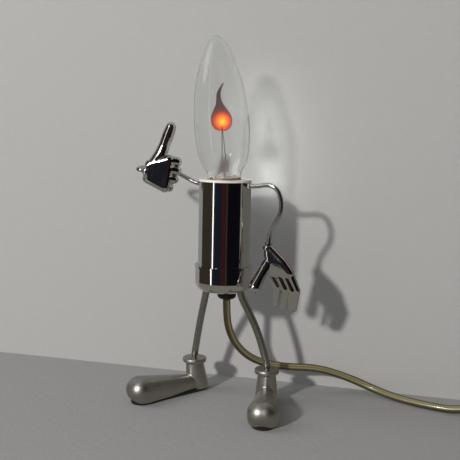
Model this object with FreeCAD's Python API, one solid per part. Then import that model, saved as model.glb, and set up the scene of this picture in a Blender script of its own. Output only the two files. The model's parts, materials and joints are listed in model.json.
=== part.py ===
import FreeCAD, Part
import math
import os

V = FreeCAD.Vector

# A small desk lamp in the shape of a robot, in millimetres.
# The robot faces -Y, its left side is +X and +Z is up.
# Everything is drawn about the body's upright axis, then moved so that the
# origin lies on the ground below the middle of the lamp's outline.

# Place of the body's axis
body_axis_x = 3.55
body_axis_y = 6.45

# Body tube and cup
tube_r = 16.55
tube_wall = 1.0
tube_top = 145.1
cup_bottom = 75.0
cup_height = 16.7
cup_r = 18.2
cup_rim = 0.4
cup_rim_height = 1.2
cup_corner_r = 6.5
cup_floor = 1.4
cup_seat_depth = 9.7
cup_seat_width = 1.5
tube_in_cup_gap = 0.05

# White ring on the tube
ring_thickness = 1.4
ring_bore_r = 11.6
ring_spigot_depth = 2.4
ring_spigot_wall = 1.1
ring_notch_width = 5.2
ring_gap = 0.05

# Shoulders and arms
shoulder_z = 142.8
rod_r = 1.4
bush_r = 1.9
bush_gap = 0.05
bush_lip = 0.35
collar_r = 2.1
collar_length = 2.4
collar_gap = 0.25
ferrule_r = 2.2
ferrule_length = 1.6

# Legs and ankles
hip_x = 12.0
leg_r = 2.35
leg_wall = 0.6
ankle_x = 26.65
ankle_y = 12.9
ankle_ball_r = 1.75
shank_r = 1.5
shank_bottom = 8.0
ankle_gap = 0.06
leg_nut_r = 4.0
leg_nut_height = 2.4
leg_nut_gap = 0.3
leg_gap = 0.05
leg_stub_height = 5.0
leg_seat_height = 3.0

# Shoes
shoe_top = 23.0
shoe_collar_r = 8.05
shoe_collar_height = 2.7
collar_bevel = 0.5
shaft_top_r = 5.7
shaft_base_r = 7.5
shaft_base_back = 2.2
toe_reach = 40.5
toe_r = 10.1
vamp_r = 5.3
heel_width_r = 6.6
sole_height = 2.0
sole_inset = 0.5
right_splay = 27.0
left_splay = 19.5
ankle_screw_head_r = 2.6
ankle_screw_head_height = 1.8
ankle_screw_r = 1.0
screw_pocket_gap = 0.25

# Lamp holder, drawn along the bulb's own axis
lean_angle = 4.7
lean_heading = 204.75
holder_pivot_z = 145.8
socket_r = 11.5
socket_bore_r = 8.0
socket_top = -5.6
socket_floor = 6.0
shell_wall = 0.6
shell_gap = 0.05
holder_ring_r = 15.45
holder_ring_drop = 26.8
holder_ring_height = 6.0
contact_r = 2.4
contact_thickness = 0.5
contact_gap = 0.2
contact_post_height = 1.9
terminal_size = 5.0
terminal_height = 5.0
terminal_reach = 6.2
terminal_screw_r = 1.3
terminal_screw_length = 3.2

# Bulb, drawn along its own axis from the pivot
cap_r = 6.95
cap_wall = 0.4
cap_length = 13.5
cap_bottom = -19.0
cap_skirt_r = 10.0
cap_skirt_top = 1.2
insulator_height = 1.8
eyelet_r = 2.3
eyelet_height = 1.2
glass_wall = 0.7
glass_r = 17.4
glass_length = 88.0
glass_neck_r = 9.8
glass_crown_r = 1.1
stem_width = 5.4
stem_thickness = 2.6
stem_bottom = 1.4
stem_top = 13.0
stem_flare_r = 8.4
lead_wire_r = 0.25
lead_spread = 2.4
flame_bottom = 30.9
flame_height = 29.5
flame_ball_r = 6.7
flame_gap = 1.0
flame_thickness = 0.3

# Grommet and inner wiring
grommet_y = 5.6
grommet_r = 6.1
grommet_drop = 4.4
grommet_neck_r = 4.4
grommet_top_r = 5.6
grommet_top_height = 2.0
clamp_size = 9.0
clamp_height = 5.0
inlet_top = 88.0
cord_gap = 0.05
wire_r = 0.8
wire_spread = 2.4
wire_end_gap = 0.3

# Cord, in-line switch and plug
cord_d = 5.0
coil_outer_r = 33.5
coil_lead_in = 34.0
coil_lead_out = 24.0
coil_step = 5.55
coil_turns = 3.0
switch_length = 58.0
switch_width = 26.0
switch_height = 17.0
switch_split = 8.0
switch_nose = 7.0
rocker_length = 17.0
rocker_width = 11.0
rocker_height = 8.0
rocker_gap = 0.7
rocker_pivot_r = 1.2
plug_length = 30.0
plug_width = 26.0
plug_height = 16.0
plug_neck_length = 12.0
plug_neck_r = 5.0
blade_length = 16.5
blade_width = 6.3
blade_thickness = 1.5
blade_spacing = 12.7

cord_r = cord_d / 2
cup_top = cup_bottom + cup_height
tube_bottom = cup_top - cup_seat_depth
tube_inner_r = tube_r - tube_wall
floor_top = cup_bottom + cup_floor
grommet_bottom = cup_bottom - grommet_drop
holder_ring_bottom = holder_pivot_z - holder_ring_drop
bore_bottom = cap_bottom - insulator_height - eyelet_height - contact_gap - contact_thickness
bore_bottom -= contact_post_height
socket_length = socket_top - bore_bottom + socket_floor

# Left arm, from its collar to the wrist, as x and z at y = 0
left_arm_route = (
    (13.0, shoulder_z),
    (19.5, shoulder_z),
    (34.8, shoulder_z + 2.2),
    (39.6, 130.0),
    (31.4, 115.0),
    (30.4, 107.0),
)

# Right arm, from its collar to the wrist of the fist
right_arm_route = (
    (-13.0, 0.0, shoulder_z),
    (-20.0, 0.0, shoulder_z),
    (-38.0, 0.0, 150.6),
    (-59.5, -4.0, 152.0),
    (-54.2, -17.2, 151.2),
    (-49.1, -15.8, 150.4),
)

# Leg of the left side, from inside the cup to the ankle
leg_route = (
    (hip_x, 0.0, floor_top + leg_seat_height + leg_stub_height),
    (hip_x, 0.0, cup_bottom - 1.5),
    (21.2, 9.0, 48.5),
    (ankle_x, ankle_y, shoe_top + ankle_ball_r + 0.6),
)

# Cord from the grommet to the in-line switch
cord_route = (
    (0.0, grommet_y, grommet_bottom),
    (0.0, grommet_y, 60.0),
    (0.4, 8.4, 47.5),
    (3.6, 13.6, 36.0),
    (9.6, 21.0, 26.5),
    (17.8, 29.5, 20.6),
    (30.5, 37.5, 17.8),
    (50.0, 48.0, 17.2),
    (68.0, 58.0, 10.6),
    (85.0, 61.5, 4.0),
    (102.0, 55.5, cord_r),
    (121.0, 51.0, cord_r),
    (142.0, 50.0, cord_r),
    (157.0, 49.4, switch_height / 2),
    (171.0, 48.9, switch_height / 2),
)

# The switch, coil and plug are drawn along +X from the cord's last point,
# then turned to the heading of the cord's last run
ground_heading = math.degrees(math.atan2(cord_route[-1][1] - cord_route[-2][1],
                                         cord_route[-1][0] - cord_route[-2][0]))
switch_far_end = switch_length + 2 * switch_nose
coil_centre_x = switch_far_end + coil_lead_in
coil_centre_y = -coil_outer_r
plug_x = coil_centre_x - coil_lead_out
plug_y = coil_centre_y - coil_outer_r


def unit(vector):
    copy = V(vector)
    copy.normalize()
    return copy


def ring(outer_r, inner_r, height, base, axis=V(0, 0, 1)):
    outer = Part.makeCylinder(outer_r, height, base, axis)
    return outer.cut(Part.makeCylinder(inner_r, height, base, axis))


def slab(size_x, size_y, size_z, low):
    return Part.makeBox(size_x, size_y, size_z, low)


def block(size_x, size_y, size_z, centre_x, centre_y, bottom):
    return slab(size_x, size_y, size_z, V(centre_x - size_x / 2, centre_y - size_y / 2, bottom))


def turned(outline):
    """Solid of revolution about Z from (radius, height) points."""
    points = [V(radius, 0, height) for radius, height in outline]
    face = Part.Face(Part.makePolygon(points + [points[0]]))
    return face.revolve(V(0, 0, 0), V(0, 0, 1), 360)


def frustum(start, end, start_r, end_r):
    """Round bar between two points, with its own radius at each end."""
    run = end - start
    if abs(start_r - end_r) < 1e-6:
        return Part.makeCylinder(start_r, run.Length, start, run)
    return Part.makeCone(start_r, end_r, run.Length, start, run)


def limb(stations):
    """Fused balls and tapered bars through (point, radius) stations."""
    pieces = [Part.makeSphere(radius, point) for point, radius in stations]
    for (start, start_r), (end, end_r) in zip(stations, stations[1:]):
        pieces.append(frustum(start, end, start_r, end_r))
    return pieces


def fused(pieces):
    """One solid from overlapping pieces."""
    whole = pieces[0].multiFuse(pieces[1:])
    return whole.removeSplitter()


def rounded_route(points):
    """Straight runs joined by tangent arcs. Returns a wire and the radii."""
    points = [V(*point) for point in points]
    edges = []
    radii = []
    last = points[0]
    for before, corner, after in zip(points, points[1:], points[2:]):
        into = unit(corner - before)
        out = unit(after - corner)
        half_turn = into.getAngle(out) / 2
        shorter = min((corner - before).Length, (after - corner).Length)
        setback = 0.45 * shorter
        radius = setback / math.tan(half_turn)
        radii.append(radius)
        start = corner - into * setback
        end = corner + out * setback
        inward = unit(out - into)
        middle = corner + inward * (radius / math.cos(half_turn) - radius)
        edges.append(Part.LineSegment(last, start).toShape())
        edges.append(Part.Arc(start, middle, end).toShape())
        last = end
    edges.append(Part.LineSegment(last, points[-1]).toShape())
    return Part.Wire(edges), radii


def bar_along(wire, radius):
    """Round bar swept along a wire of tangent edges."""
    first = wire.Edges[0]
    start = first.valueAt(first.FirstParameter)
    heading = first.tangentAt(first.FirstParameter)
    section = Part.Wire([Part.makeCircle(radius, start, heading)])
    return wire.makePipeShell([section], True, False)


def bent_bar(points, radius):
    wire, radii = rounded_route(points)
    return bar_along(wire, radius)


def mirrored(shape):
    return shape.mirror(V(0, 0, 0), V(1, 0, 0))


def lean_axis():
    heading = math.radians(lean_heading)
    return V(-math.sin(heading), math.cos(heading), 0)


def leaned(shape):
    """Move a shape from the bulb's own axis into the leaning holder."""
    moved = shape.copy()
    moved.rotate(V(0, 0, 0), lean_axis(), lean_angle)
    moved.translate(V(0, 0, holder_pivot_z))
    return moved


def leaned_point(point):
    turn = FreeCAD.Rotation(lean_axis(), lean_angle)
    return turn.multVec(V(*point)) + V(0, 0, holder_pivot_z)


def laid(shape):
    """Move a shape from the cord end's own line to its place on the ground."""
    moved = shape.copy()
    moved.rotate(V(0, 0, 0), V(0, 0, 1), ground_heading)
    end = cord_route[-1]
    moved.translate(V(end[0], end[1], 0))
    return moved


def along_x(side):
    return V(side, 0, 0)


# Body

def body_tube():
    tube = ring(tube_r, tube_inner_r, tube_top - tube_bottom, V(0, 0, tube_bottom))
    for side in (-1, 1):
        bore = Part.makeCylinder(bush_r, 2 * tube_r, V(0, 0, shoulder_z), along_x(side))
        tube = tube.cut(bore)
    return tube


def cup_profile(outer_r, corner_r, bottom, top):
    """Face of half a round-cornered cup section, from the axis outwards."""
    bend = corner_r * math.sqrt(0.5)
    corner = V(outer_r - corner_r, 0, bottom + corner_r)
    low = V(outer_r - corner_r, 0, bottom)
    side = V(outer_r, 0, bottom + corner_r)
    edges = [
        Part.LineSegment(V(0, 0, bottom), low).toShape(),
        Part.Arc(low, corner + V(bend, 0, -bend), side).toShape(),
        Part.LineSegment(side, V(outer_r, 0, top)).toShape(),
        Part.LineSegment(V(outer_r, 0, top), V(0, 0, top)).toShape(),
        Part.LineSegment(V(0, 0, top), V(0, 0, bottom)).toShape(),
    ]
    return Part.Face(Part.Wire(edges))


def base_cup():
    whole_turn = (V(0, 0, 0), V(0, 0, 1), 360)
    cup = cup_profile(cup_r, cup_corner_r, cup_bottom, cup_top).revolve(*whole_turn)
    rim = Part.makeCylinder(cup_r + cup_rim, cup_rim_height, V(0, 0, cup_top - cup_rim_height))
    cup = cup.fuse(rim)
    hollow_r = tube_r + tube_in_cup_gap - cup_seat_width
    corner_r = cup_corner_r - (cup_r - hollow_r)
    hollow = cup_profile(hollow_r, corner_r, floor_top, cup_top).revolve(*whole_turn)
    seat = Part.makeCylinder(tube_r + tube_in_cup_gap, cup_seat_depth, V(0, 0, tube_bottom))
    cup = cup.cut(hollow).cut(seat)
    cup = cup.cut(Part.makeCylinder(grommet_neck_r, cup_height, V(0, grommet_y, cup_bottom)))
    leg_way = bent_bar(leg_route, leg_r + leg_gap)
    nut_way = Part.makeCylinder(leg_nut_r + leg_nut_gap, cup_height, V(hip_x, 0, floor_top + leg_seat_height))
    boss = Part.makeCylinder(leg_nut_r + leg_nut_gap, leg_seat_height, V(hip_x, 0, floor_top))
    boss = boss.common(cup_profile(cup_r, cup_corner_r, cup_bottom, cup_top).revolve(*whole_turn))
    cup = cup.fuse(boss).fuse(mirrored(boss)).cut(nut_way).cut(mirrored(nut_way))
    return cup.cut(leg_way).cut(mirrored(leg_way)).removeSplitter()


def top_ring():
    spigot_r = tube_inner_r - ring_gap
    plate = ring(tube_r, ring_bore_r, ring_thickness, V(0, 0, tube_top))
    spigot = ring(spigot_r, spigot_r - ring_spigot_wall, ring_spigot_depth,
                  V(0, 0, tube_top - ring_spigot_depth))
    notch = block(4 * tube_r, ring_notch_width, ring_spigot_depth, 0, 0, tube_top - ring_spigot_depth)
    return plate.fuse(spigot.cut(notch)).removeSplitter()


def shoulder_bush(side):
    start = V(side * (tube_inner_r - bush_lip), 0, shoulder_z)
    length = tube_wall + 2 * bush_lip
    return ring(bush_r - 0.01, rod_r + bush_gap, length, start, along_x(side))


# Lamp holder

def socket_body():
    bottom = socket_top - socket_length
    body = Part.makeCylinder(socket_r, socket_length, V(0, 0, bottom))
    bore_depth = socket_length - socket_floor
    body = body.cut(Part.makeCylinder(socket_bore_r, bore_depth, V(0, 0, socket_top - bore_depth)))
    for side in (-1, 1):
        hole = Part.makeCylinder(wire_r + 0.2, socket_floor, V(side * 3.4, 0, bottom))
        body = body.cut(hole)
    return leaned(body)


def socket_shell():
    bottom = socket_top - socket_length + socket_floor
    outer = socket_bore_r - shell_gap
    return leaned(ring(outer, outer - shell_wall, socket_length - socket_floor - 0.4, V(0, 0, bottom)))


def centre_contact():
    eyelet_bottom = cap_bottom - insulator_height - eyelet_height
    top = eyelet_bottom - contact_gap
    plate = Part.makeCylinder(contact_r, contact_thickness, V(0, 0, top - contact_thickness))
    post = Part.makeCylinder(contact_r / 2, top - contact_thickness - bore_bottom, V(0, 0, bore_bottom))
    return leaned(plate.fuse(post))


def socket_terminals():
    top = socket_top - socket_length
    blocks = []
    for side in (-1, 1):
        piece = block(terminal_size, terminal_size, terminal_height,
                      side * terminal_reach, 0, top - terminal_height)
        hole = Part.makeCylinder(terminal_screw_r, terminal_screw_length,
                                 V(side * terminal_reach, -terminal_size / 2, top - terminal_height / 2),
                                 V(0, 1, 0))
        blocks.append(leaned(piece.cut(hole)))
    return Part.makeCompound(blocks)


def terminal_screws():
    height = socket_top - socket_length - terminal_height / 2
    screws = []
    for side in (-1, 1):
        start = V(side * terminal_reach, -terminal_size / 2, height)
        body = Part.makeCylinder(terminal_screw_r - 0.05, terminal_screw_length, start, V(0, 1, 0))
        head = Part.makeCylinder(terminal_screw_r + 0.7, 1.0, start, V(0, -1, 0))
        slot = block(4 * terminal_screw_r, 0.6, 0.5, start.x, start.y - 0.8, height - 0.25)
        screws.append(leaned(body.fuse(head).cut(slot)))
    return Part.makeCompound(screws)


def socket_holder():
    holder = Part.makeCylinder(holder_ring_r, holder_ring_height, V(0, 0, holder_ring_bottom))
    well = Part.makeCylinder(socket_r + 0.05, 3 * socket_length, V(0, 0, socket_top - 2 * socket_length))
    return holder.cut(leaned(well))


# Bulb

def bulb_cap():
    bottom = cap_bottom
    thread_top = bottom + cap_length
    outline = (
        (cap_r, bottom), (cap_r, thread_top), (cap_skirt_r, cap_skirt_top - 2.2),
        (cap_skirt_r, cap_skirt_top), (cap_skirt_r - cap_wall, cap_skirt_top),
        (cap_skirt_r - cap_wall, cap_skirt_top - 2.0), (cap_r - cap_wall, thread_top + 0.2),
        (cap_r - cap_wall, bottom),
    )
    return leaned(turned(outline))


def cap_insulator():
    low = cap_bottom - insulator_height
    outline = ((eyelet_r, low), (cap_r, cap_bottom), (0, cap_bottom), (0, low))
    return leaned(turned(outline))


def eyelet():
    low = cap_bottom - insulator_height - eyelet_height
    return leaned(Part.makeCylinder(eyelet_r, eyelet_height, V(0, 0, low)))


def glass_outline(inset):
    """Radius and height stations of the candle bulb, from neck to crown."""
    stations = (
        (glass_neck_r, 0.0), (11.4, 0.045), (14.2, 0.11), (16.0, 0.185), (17.1, 0.29), (glass_r, 0.385),
        (17.0, 0.48), (15.7, 0.62), (12.5, 0.765), (8.2, 0.9), (4.4, 0.97), (glass_crown_r, 0.997),
    )
    points = []
    for radius, share in stations:
        height = cap_skirt_top + share * (glass_length - inset)
        points.append(V(max(radius - inset, 0.3), 0, height))
    return points


def bulb_glass():
    outer = glass_outline(0)
    inner = glass_outline(glass_wall)
    outer_curve = Part.BSplineCurve()
    outer_curve.interpolate(outer)
    inner_curve = Part.BSplineCurve()
    inner_curve.interpolate(inner)
    top = V(0, 0, outer[-1].z + 0.25)
    inner_top = V(0, 0, inner[-1].z)
    edges = [
        outer_curve.toShape(),
        Part.LineSegment(outer[-1], top).toShape(),
        Part.LineSegment(top, inner_top).toShape(),
        Part.LineSegment(inner_top, inner[-1]).toShape(),
        inner_curve.toShape(),
        Part.LineSegment(inner[0], outer[0]).toShape(),
    ]
    face = Part.Face(Part.Wire(Part.__sortEdges__(edges)))
    return leaned(face.revolve(V(0, 0, 0), V(0, 0, 1), 360))


def bulb_stem():
    flare_height = 3.4
    foot = Part.makeCylinder(stem_flare_r, 0.8, V(0, 0, stem_bottom))
    flare = Part.makeCone(stem_flare_r - 1.0, stem_thickness / 2, flare_height, V(0, 0, stem_bottom + 0.8))
    pinch = block(stem_width, stem_thickness, stem_top - stem_bottom - 3.0, 0, 0, stem_bottom + 3.0)
    turn = lean_heading - 180
    pinch.rotate(V(0, 0, 0), V(0, 0, 1), turn)
    return leaned(foot.fuse(flare).fuse(pinch).removeSplitter())


def beside(across, deep, height):
    """Point in the bulb's own frame, across and behind its flame plates."""
    turn = math.radians(lean_heading - 180)
    return V(across * math.cos(turn) - deep * math.sin(turn),
             across * math.sin(turn) + deep * math.cos(turn), height)


def lead_wires():
    wires = []
    for side in (-1, 1):
        deep = side * (flame_gap / 2 + flame_thickness + lead_wire_r)
        start = beside(side * lead_spread / 2, deep, stem_top + 0.05)
        end = beside(0.0, deep, flame_bottom + 3.0)
        wires.append(leaned(frustum(start, end, lead_wire_r, lead_wire_r)))
    return Part.makeCompound(wires)


def flame_plate(side):
    """Flat flame with a ball below and a tip that curls to one side."""
    ball = flame_bottom + flame_ball_r
    tip = flame_bottom + flame_height
    outline = (
        (0.0, flame_bottom), (flame_ball_r * 0.78, ball - flame_ball_r * 0.68), (flame_ball_r, ball),
        (flame_ball_r * 0.72, ball + 5.0), (1.5, ball + 10.4), (0.5, tip - 9.0), (1.2, tip - 3.6),
        (2.7, tip), (-0.2, tip - 3.0), (-2.4, tip - 8.5), (-2.9, ball + 10.4),
        (-flame_ball_r * 0.78, ball + 5.6), (-flame_ball_r, ball),
        (-flame_ball_r * 0.72, ball - flame_ball_r * 0.72),
    )
    near = side * flame_gap / 2
    if side < 0:
        near -= flame_thickness
    points = [beside(across, near, height) for across, height in outline]
    curve = Part.BSplineCurve()
    curve.interpolate(points, PeriodicFlag=True)
    face = Part.Face(Part.Wire([curve.toShape()]))
    push = beside(0, flame_thickness, 0)
    return leaned(face.extrude(push))


# Legs and shoes

def leg(side):
    wire, radii = rounded_route(leg_route)
    outer = bar_along(wire, leg_r)
    hollow = bar_along(wire, leg_r - leg_wall)
    tube = outer.cut(hollow)
    end = V(*leg_route[-1])
    back = unit(end - V(*leg_route[-2]))
    taper = Part.makeCone(leg_r, ankle_ball_r * 0.8, 2.4, end, back)
    plug = Part.makeCylinder(leg_r, 1.2, end - back * 1.2, back)
    ball_centre = V(ankle_x, ankle_y, shoe_top + ankle_ball_r * 0.6)
    ball = Part.makeSphere(ankle_ball_r, ball_centre)
    neck = frustum(end, ball_centre, ankle_ball_r * 0.8, ankle_ball_r * 0.8)
    shank = Part.makeCylinder(shank_r, ball_centre.z - shank_bottom, V(ankle_x, ankle_y, shank_bottom))
    shape = fused([tube, taper, plug, ball, neck, shank])
    if side < 0:
        shape = mirrored(shape)
    return shape


def leg_nuts():
    nuts = []
    bottom = floor_top + leg_seat_height
    for side in (-1, 1):
        corners = []
        for corner in range(7):
            turn = math.radians(60 * corner)
            corners.append(V(side * hip_x + leg_nut_r * math.cos(turn), leg_nut_r * math.sin(turn), bottom))
        prism = Part.Face(Part.makePolygon(corners)).extrude(V(0, 0, leg_nut_height))
        bore = Part.makeCylinder(leg_r + leg_gap, leg_nut_height, V(side * hip_x, 0, bottom))
        nuts.append(prism.cut(bore))
    return Part.makeCompound(nuts)


def toe_outline(inset):
    """Plan of the shoe about its ankle: heel round, tapered waist, round toe."""
    heel_r = heel_width_r - inset
    toe = toe_r - inset
    heel_y = shaft_base_back
    heel = Part.makeCylinder(heel_r, 1, V(0, heel_y, 0))
    front = Part.makeCylinder(toe, 1, V(0, -toe_reach, 0))
    waist = [
        V(vamp_r - inset, -6.0, 0), V(toe * 0.995, -toe_reach, 0),
        V(-toe * 0.995, -toe_reach, 0), V(-(vamp_r - inset), -6.0, 0),
    ]
    back = [V(-heel_r * 0.9, heel_y, 0), V(heel_r * 0.9, heel_y, 0)]
    polygon = Part.makePolygon(waist + back + [waist[0]])
    middle = Part.Face(polygon).extrude(V(0, 0, 1))
    return fused([heel, front, middle])


def scaled_prism(plan, bottom, height):
    """The plan's lower face, raised to its own height."""
    low = [face for face in plan.Faces if abs(face.CenterOfMass.z) < 1e-6][0]
    solid = low.extrude(V(0, 0, height))
    solid.translate(V(0, 0, bottom))
    return solid


def set_on_ankle(shape, side):
    splay = left_splay if side > 0 else right_splay
    placed = shape.copy()
    placed.rotate(V(0, 0, 0), V(0, 0, 1), side * splay)
    placed.translate(V(side * ankle_x, ankle_y, 0))
    return placed


def shoe(side):
    collar = Part.makeCylinder(shoe_collar_r, shoe_collar_height, V(0, 0, shoe_top - shoe_collar_height))
    collar = collar.makeChamfer(collar_bevel, [e for e in collar.Edges if e.Curve.TypeId == "Part::GeomCircle"])
    neck_z = shoe_top - shoe_collar_height
    top_ring_edge = Part.Wire([Part.makeCircle(shaft_top_r, V(0, 0, neck_z + 0.3))])
    low_ring_edge = Part.Wire([Part.makeCircle(shaft_base_r, V(0, shaft_base_back, 7.0))])
    shaft = Part.makeLoft([low_ring_edge, top_ring_edge], True, True)
    heel = Part.makeCylinder(shaft_base_r, 7.0 - sole_height, V(0, shaft_base_back, sole_height))
    toe_centre = V(0, -toe_reach, toe_r)
    toe_ball = Part.makeSphere(toe_r, toe_centre)
    toe_side = Part.makeCylinder(toe_r, toe_r - sole_height, V(0, -toe_reach, sole_height))
    vamp = frustum(V(0, 0, vamp_r), toe_centre, vamp_r, toe_r * 0.999)
    walls = scaled_prism(toe_outline(0), sole_height, vamp_r - sole_height)
    body = fused([collar, shaft, heel, toe_ball, toe_side, vamp, walls])
    body = body.cut(slab(200, 200, sole_height + 20, V(-100, -100, -20)))
    bore = Part.makeCylinder(shank_r + ankle_gap, shoe_top + 10, V(0, 0, 0))
    cup_seat = Part.makeSphere(ankle_ball_r + 0.25, V(0, 0, shoe_top + ankle_ball_r * 0.6))
    pocket = Part.makeCylinder(ankle_screw_head_r + screw_pocket_gap,
                               ankle_screw_head_height + 2 * screw_pocket_gap, V(0, 0, sole_height))
    body = body.cut(bore).cut(cup_seat).cut(pocket)
    return set_on_ankle(body, side)


def sole(side):
    pad = scaled_prism(toe_outline(sole_inset), 0, sole_height)
    return set_on_ankle(pad, side)


def ankle_screws():
    screws = []
    for side in (-1, 1):
        low = sole_height + screw_pocket_gap
        head = Part.makeCylinder(ankle_screw_head_r, ankle_screw_head_height, V(side * ankle_x, ankle_y, low))
        stem_bottom_z = low + ankle_screw_head_height
        stem = Part.makeCylinder(ankle_screw_r, shank_bottom - stem_bottom_z,
                                 V(side * ankle_x, ankle_y, stem_bottom_z))
        screws.append(head.fuse(stem))
    return Part.makeCompound(screws)


# Arms and hands

def left_arm():
    rod = bent_bar([(x, 0, z) for x, z in left_arm_route], rod_r)
    end = V(left_arm_route[-1][0], 0, left_arm_route[-1][1])
    before = V(left_arm_route[-2][0], 0, left_arm_route[-2][1])
    ferrule = Part.makeCylinder(ferrule_r, ferrule_length, end - unit(end - before) * ferrule_length, end - before)
    return fused([rod, ferrule])


def right_arm():
    rod = bent_bar(right_arm_route, rod_r)
    end = V(*right_arm_route[-1])
    before = V(*right_arm_route[-2])
    ferrule = Part.makeCylinder(ferrule_r, ferrule_length, end - unit(end - before) * ferrule_length, end - before)
    return fused([rod, ferrule])


def arm_collar(side):
    """Ring on the arm's inner end that keeps the arm in its bush."""
    outer_end = tube_inner_r - bush_lip - collar_gap
    start = V(side * (outer_end - collar_length), 0, shoulder_z)
    return ring(collar_r, rod_r, collar_length, start, along_x(side))


def wrist_pin_length():
    return 5.0


def hand_axes(route):
    """Wrist point and the heading of the arm's last run."""
    points = [V(point[0], 0, point[1]) if len(point) == 2 else V(*point) for point in route]
    return points[-1], unit(points[-1] - points[-2])


def wrist_pin(route):
    wrist, heading = hand_axes(route)
    return Part.makeCylinder(rod_r * 0.8, wrist_pin_length(), wrist, heading)


def left_hand():
    wrist, heading = hand_axes(left_arm_route)
    gap = 0.3
    start = wrist + heading * gap
    cuff_r = 3.1
    cuff = Part.makeCone(cuff_r, cuff_r + 0.5, 3.0, start, heading)
    def at(x, y, z):
        return V(x, y, z)
    palm = []
    palm += limb([(at(30.6, 0, 103.0), 3.3), (at(32.0, 0, 97.0), 4.0), (at(32.6, 0.6, 90.5), 3.7)])
    palm += limb([(at(31.4, 0, 102.0), 3.2), (at(36.6, 0, 96.5), 3.9), (at(38.2, 0.4, 90.0), 3.7)])
    palm += limb([(at(33.0, 0, 101.0), 3.2), (at(40.4, 0, 96.0), 3.4), (at(43.4, 0.6, 90.0), 3.4)])
    fingers = (
        ((32.6, 0.4, 89.5), (37.6, 0.2, 81.2), (35.8, 3.0, 69.4)),
        ((37.6, 0.2, 89.5), (42.4, 0.0, 80.2), (40.6, 3.4, 67.6)),
        ((41.6, 0.4, 89.5), (46.4, 0.8, 79.4), (44.2, 4.4, 66.4)),
        ((45.0, 0.8, 89.8), (49.4, 2.0, 79.6), (46.8, 5.6, 66.8)),
    )
    digits = []
    for root, middle, tip in fingers:
        digits += limb([(at(*root), 2.7), (at(*middle), 2.35), (at(*tip), 1.75)])
    thumb = limb([(at(30.4, -0.8, 95.0), 3.6), (at(27.6, -5.2, 87.5), 3.3), (at(25.4, -8.8, 80.4), 3.9)])
    hand = fused([cuff] + palm + digits + thumb)
    socket = Part.makeCylinder(rod_r * 0.8 + 0.06, wrist_pin_length() + gap, wrist, heading)
    return hand.cut(socket)


def fist_point(along, up, out):
    """Point of the fist from its wrist: to the knuckles, to the thumb, to the back of the hand."""
    wrist, forward = hand_axes(right_arm_route)
    turn = math.radians(14.75)
    dip = math.radians(9.5)
    ahead = V(math.cos(turn) * math.cos(dip), math.sin(turn) * math.cos(dip), -math.sin(dip))
    back = V(math.sin(turn), -math.cos(turn), 0)
    thumbward = back.cross(ahead)
    return wrist + ahead * along + thumbward * up + back * out


def right_fist():
    wrist, heading = hand_axes(right_arm_route)
    gap = 0.3
    at = fist_point
    cuff = Part.makeCylinder(6.4, 2.4, at(0.6, 0, 0), at(1, 0, 0) - at(0, 0, 0))
    digits = []
    for root, level, reach in ((4.1, 9.6, 20.2), (1.5, 3.9, 20.9), (-1.3, -1.9, 20.0), (-4.0, -7.6, 17.6)):
        digits += limb([
            (at(3.0, root, 0.2), 3.6), (at(14.0, level, 1.7), 3.7),
            (at(reach - 0.6, level, -0.8), 3.05), (at(reach - 4.2, level, -6.1), 2.8),
            (at(reach - 10.5, level, -5.2), 2.6),
        ])
    thumb = limb([
        (at(5.2, 7.0, -0.6), 4.0), (at(8.0, 14.6, -1.0), 2.9), (at(9.2, 18.4, -1.0), 2.5),
        (at(11.4, 25.0, -0.8), 3.35), (at(12.2, 30.2, -0.4), 2.8),
    ])
    hand = fused([cuff] + digits + thumb)
    relief = Part.makeCylinder(ferrule_r + 0.3, 3.0, wrist - heading * (3.0 - gap), heading)
    socket = Part.makeCylinder(rod_r * 0.8 + 0.06, wrist_pin_length() + gap, wrist, heading)
    return hand.cut(relief).cut(socket)


def arm_with_pin(arm, route):
    return fused([arm, wrist_pin(route)])


# Grommet and wiring

def grommet():
    centre = V(0, grommet_y, 0)
    low = Part.makeCylinder(grommet_r, grommet_drop, centre + V(0, 0, grommet_bottom))
    low_edges = [edge for edge in low.Edges if edge.CenterOfMass.z < grommet_bottom + 0.01
                 and edge.Curve.TypeId == "Part::GeomCircle"]
    low = low.makeFillet(1.0, low_edges)
    neck = Part.makeCylinder(grommet_neck_r, cup_floor, centre + V(0, 0, cup_bottom))
    high = Part.makeCylinder(grommet_top_r, grommet_top_height, centre + V(0, 0, floor_top))
    bore = Part.makeCylinder(cord_r + cord_gap, 40, centre + V(0, 0, grommet_bottom))
    return low.fuse(neck).fuse(high).cut(bore).removeSplitter()


def cord_inlet():
    return Part.makeCylinder(cord_r, inlet_top - grommet_bottom, V(0, grommet_y, grommet_bottom))


def cord_clamp():
    bottom = floor_top + grommet_top_height
    body = block(clamp_size, clamp_size, clamp_height, 0, grommet_y, bottom)
    return body.cut(Part.makeCylinder(cord_r + cord_gap, clamp_height, V(0, grommet_y, bottom)))


def inner_wire(side):
    terminal_bottom = socket_top - socket_length - terminal_height
    end = leaned_point((side * terminal_reach, 0, terminal_bottom))
    low = V(side * wire_spread / 2, grommet_y, inlet_top)
    points = [
        tuple(low), tuple(low + V(0, 0, 5)), tuple(end - V(0, 0, 6)), tuple(end - V(0, 0, wire_end_gap)),
    ]
    return bent_bar(points, wire_r)


# Cord, switch and plug

def cord_lead():
    wire, radii = rounded_route(cord_route)
    tube = bar_along(wire, cord_r)
    section = math.pi * cord_r ** 2
    print("cord lead radii", [round(radius, 1) for radius in radii])
    print("cord lead length", round(wire.Length, 1))
    print("cord lead volume share", round(tube.Volume / (section * wire.Length), 5))
    return tube


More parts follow.
